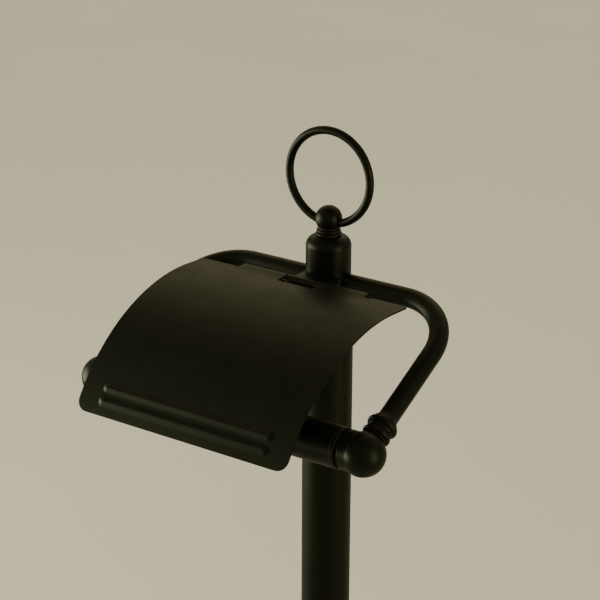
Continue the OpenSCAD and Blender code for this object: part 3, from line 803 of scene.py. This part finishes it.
finishes = {
    "bronze_coating": bronze("bronze coating", (0.0032, 0.003, 0.0022), (0.0062, 0.0048, 0.003),
                             (0.34, 0.42), 0.03),
    "hood_coating": bronze("hood coating", (0.0038, 0.0036, 0.0026), (0.0066, 0.0054, 0.0034),
                           (0.37, 0.45), 0.04),
}
print("coatings", list(finishes))

# %% [markdown]
# ## Small metals, nylon and rubber
# The screws are blackened steel, the hidden fixings are zinc plated, the bushes are natural nylon, and the
# pad is ribbed rubber. Each takes the shared effects with its own values, and adds what is its own: turning
# marks on the steel, a milky depth in the nylon.

# %% Steels


def steel(name, colour, rough, marks):
    """Bare, plated or blackened steel: fine marks across, marks apart, modulate roughness and height."""
    material, tree, shader = finish(name)
    where = node(tree, "TexCoord").outputs["Object"]
    stretched = node(tree, "Mapping", Vector=where, Scale=(marks, marks * 0.08, marks))
    brushed = node(tree, "TexNoise", Vector=stretched.outputs["Vector"], Scale=1.0, Detail=4.0)
    spray = placed(tree, coat, Grain=3000.0, Patch=160.0)
    pale = tuple(min(1.0, c * 1.25) for c in colour)
    tree.links.new(blend_colour(tree, spray["Unevenness"], colour, pale), shader.inputs["Base Color"])
    tree.links.new(remap(tree, brushed.outputs["Fac"], 0.3, 0.7, rough - 0.07, rough + 0.08),
                   shader.inputs["Roughness"])
    bump = node(tree, "Bump", Height=brushed.outputs["Fac"], Strength=0.2, Distance=0.00002)
    tree.links.new(bump.outputs["Normal"], shader.inputs["Normal"])
    shader.inputs["Metallic"].default_value = 1.0
    return material


finishes["zinc_steel"] = steel("zinc plate", (0.45, 0.45, 0.46), 0.36, 2200.0)
finishes["black_screw"] = steel("blackened steel", (0.035, 0.032, 0.029), 0.4, 2600.0)
finishes["spring_steel"] = steel("spring wire", (0.5, 0.5, 0.51), 0.28, 3000.0)
finishes["cast_iron"] = steel("cast iron", (0.12, 0.12, 0.125), 0.62, 900.0)
print("steels", [key for key in finishes if "coating" not in key])

# %% Nylon and rubber


def moulded(name, dark, pale, rough, dusting, grain):
    """A moulded piece: its colour wanders between dark and pale, over a matte skin of that grain."""
    material, tree, shader = finish(name)
    spray = placed(tree, coat, Grain=grain, Patch=120.0)
    colour = blend_colour(tree, spray["Unevenness"], dark, pale)
    dusty = placed(tree, dust, Amount=dusting)["Mask"]
    tree.links.new(blend_colour(tree, dusty, colour, GREY_DUST), shader.inputs["Base Color"])
    tree.links.new(remap(tree, spray["Unevenness"], 0.3, 0.7, rough - 0.06, rough + 0.08),
                   shader.inputs["Roughness"])
    bump = node(tree, "Bump", Height=spray["Height"], Strength=0.4, Distance=0.00004)
    tree.links.new(bump.outputs["Normal"], shader.inputs["Normal"])
    return material


finishes["nylon"] = moulded("natural nylon", (0.56, 0.53, 0.46), (0.68, 0.66, 0.6), 0.42, 0.05, 1800.0)
finishes["pad_rubber"] = moulded("pad rubber", (0.014, 0.014, 0.014), (0.026, 0.025, 0.024), 0.72, 0.2,
                                 1400.0)
milky = finishes["nylon"].node_tree.nodes["Principled BSDF"].inputs
milky["Subsurface Weight"].default_value = 0.15
milky["Subsurface Scale"].default_value = 0.002
print("moulded finishes are ready")

# %% Give every piece and node its finish


def dress(target, slot):
    """One material slot, holding the finish of that slot of the record."""
    target.data.materials.clear()
    target.data.materials.append(finishes[slot])


for piece in pieces:
    dress(piece, piece["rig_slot"])
for name, cad_node in frame["nodes"].items():
    dress(cad_node, slot_of[name])
print("dressed", len(pieces), "pieces and", len(frame["nodes"]), "nodes")

# %% [markdown]
# ## Floor, light and camera
# A dark satin object shows nothing but what it reflects, so the set is built round it: a broad soft sun
# behind that fades down the hood, a panel at each side that draws the light bands down the post, the collar
# and the balls, and a surround that is dark overhead and level, brighter between, and dim below. The floor
# and its own fill light are kept out of the reflections.

# %% Floor
FLOOR_R = 14.0
RINGS, SECTORS = 24, 96
ring_r = np.linspace(0, 1, RINGS + 1)[1:] ** 2 * FLOOR_R / MM
floor_angle = np.linspace(0, 2 * np.pi, SECTORS, endpoint=False)
floor_grid = np.stack([
    ring_r[:, None] * np.cos(floor_angle),
    REACH + ring_r[:, None] * np.sin(floor_angle),
    np.full((RINGS, SECTORS), FLOOR),
], axis=2)
floor = skin("floor", floor_grid, wrap_columns=True, poles=((0, REACH, FLOOR), None))
floor.visible_glossy = False
floor_finish, tree, shader = finish("pale floor")
spray = placed(tree, coat, Grain=160.0, Patch=2.2)
tree.links.new(blend_colour(tree, spray["Unevenness"], (0.72, 0.66, 0.56), (0.78, 0.72, 0.62)),
               shader.inputs["Base Color"])
tree.links.new(remap(tree, spray["Height"], 0.3, 0.9, 0.6, 0.75), shader.inputs["Roughness"])
shader.inputs["Specular IOR Level"].default_value = 0.2
floor.data.materials.append(floor_finish)
print("floor radius", FLOOR_R, "m")

# %% Light
world = bpy.data.worlds.new("room")
bpy.context.scene.world = world
world.use_nodes = True
sky = world.node_tree
background = sky.nodes["Background"]
background.inputs["Strength"].default_value = 0.6
height = node(sky, "SeparateXYZ", Vector=node(sky, "TexCoord").outputs["Generated"]).outputs["Z"]
shade = node(sky, "ValToRGB", Fac=height)
level_low, overhead = shade.color_ramp.elements
level_low.position, level_low.color = 0.1, (0.16, 0.16, 0.09, 1)
overhead.position, overhead.color = 0.95, (0.08, 0.085, 0.05, 1)
shade.color_ramp.elements.new(0.55).color = (0.8, 0.82, 0.5, 1)
shade.color_ramp.elements.new(0.0).color = (0.55, 0.55, 0.33, 1)
seen = node(sky, "LightPath").outputs["Is Camera Ray"]
sky.links.new(blend_colour(sky, seen, shade.outputs["Color"], (0.86, 0.8, 0.69)), background.inputs["Color"])
TARGET = Vector(ROLLER * MM) + Vector((0, 0.04, 0.03))


def direction(azimuth, elevation):
    """Unit vector from the head: azimuth 0 is straight behind it, 90 to its right, elevation above level."""
    a, e = math.radians(azimuth), math.radians(elevation)
    return Vector((math.sin(a) * math.cos(e), math.cos(a) * math.cos(e), math.sin(e)))


def lamp(name, kind, away, distance, power, colour, glossy=True, **shape):
    """A light of that kind, at that distance from the head and aimed at it."""
    data = bpy.data.lights.new(name, kind)
    data.energy, data.color = power, colour
    for key, value in shape.items():
        setattr(data, key, value)
    made = bpy.data.objects.new(name, data)
    made.location = TARGET + distance * away
    made.rotation_euler = away.to_track_quat("Z", "Y").to_euler()
    made.visible_camera = False
    made.visible_glossy = glossy
    bpy.context.scene.collection.objects.link(made)
    return made


WARM = (1.0, 0.8, 0.46)
PLAIN = (1.0, 0.95, 0.84)
GREEN = (0.96, 1.0, 0.76)
lamp("soft sun behind", "SUN", direction(-33, 34), 3, 0.3, WARM, angle=math.radians(60))
lamp("floor fill", "SUN", direction(0, 75), 3, 1.6, PLAIN, glossy=False, angle=math.radians(60))
lamp("panel left", "AREA", direction(-114, -4), 1.7, 30, GREEN, shape="RECTANGLE", size=1.4, size_y=1.1)
lamp("panel right", "AREA", direction(94, 2), 1.7, 8, GREEN, shape="RECTANGLE", size=0.7, size_y=1.1)

# %% Camera
AIM = Vector((0.018, -0.054, 0.621))
CAMERA_DISTANCE = 0.954
CAMERA_AZIMUTH, CAMERA_PITCH, CAMERA_ROLL = 34.45, 21.15, 0.2
LENS = 108.7
lens = bpy.data.cameras.new("camera")
lens.sensor_width = 36
lens.lens = LENS
lens.clip_start, lens.clip_end = 0.05, 60
camera = bpy.data.objects.new("camera", lens)
turn = Matrix.Rotation(math.radians(CAMERA_AZIMUTH), 4, "Z") \
    @ Matrix.Rotation(math.radians(90 - CAMERA_PITCH), 4, "X") \
    @ Matrix.Rotation(math.radians(CAMERA_ROLL), 4, "Z")
camera.matrix_world = Matrix.Translation(AIM + CAMERA_DISTANCE * (turn @ Vector((0, 0, 1)))) @ turn
bpy.context.scene.collection.objects.link(camera)
bpy.context.scene.camera = camera
print("camera at", [round(c, 3) for c in camera.matrix_world.translation])
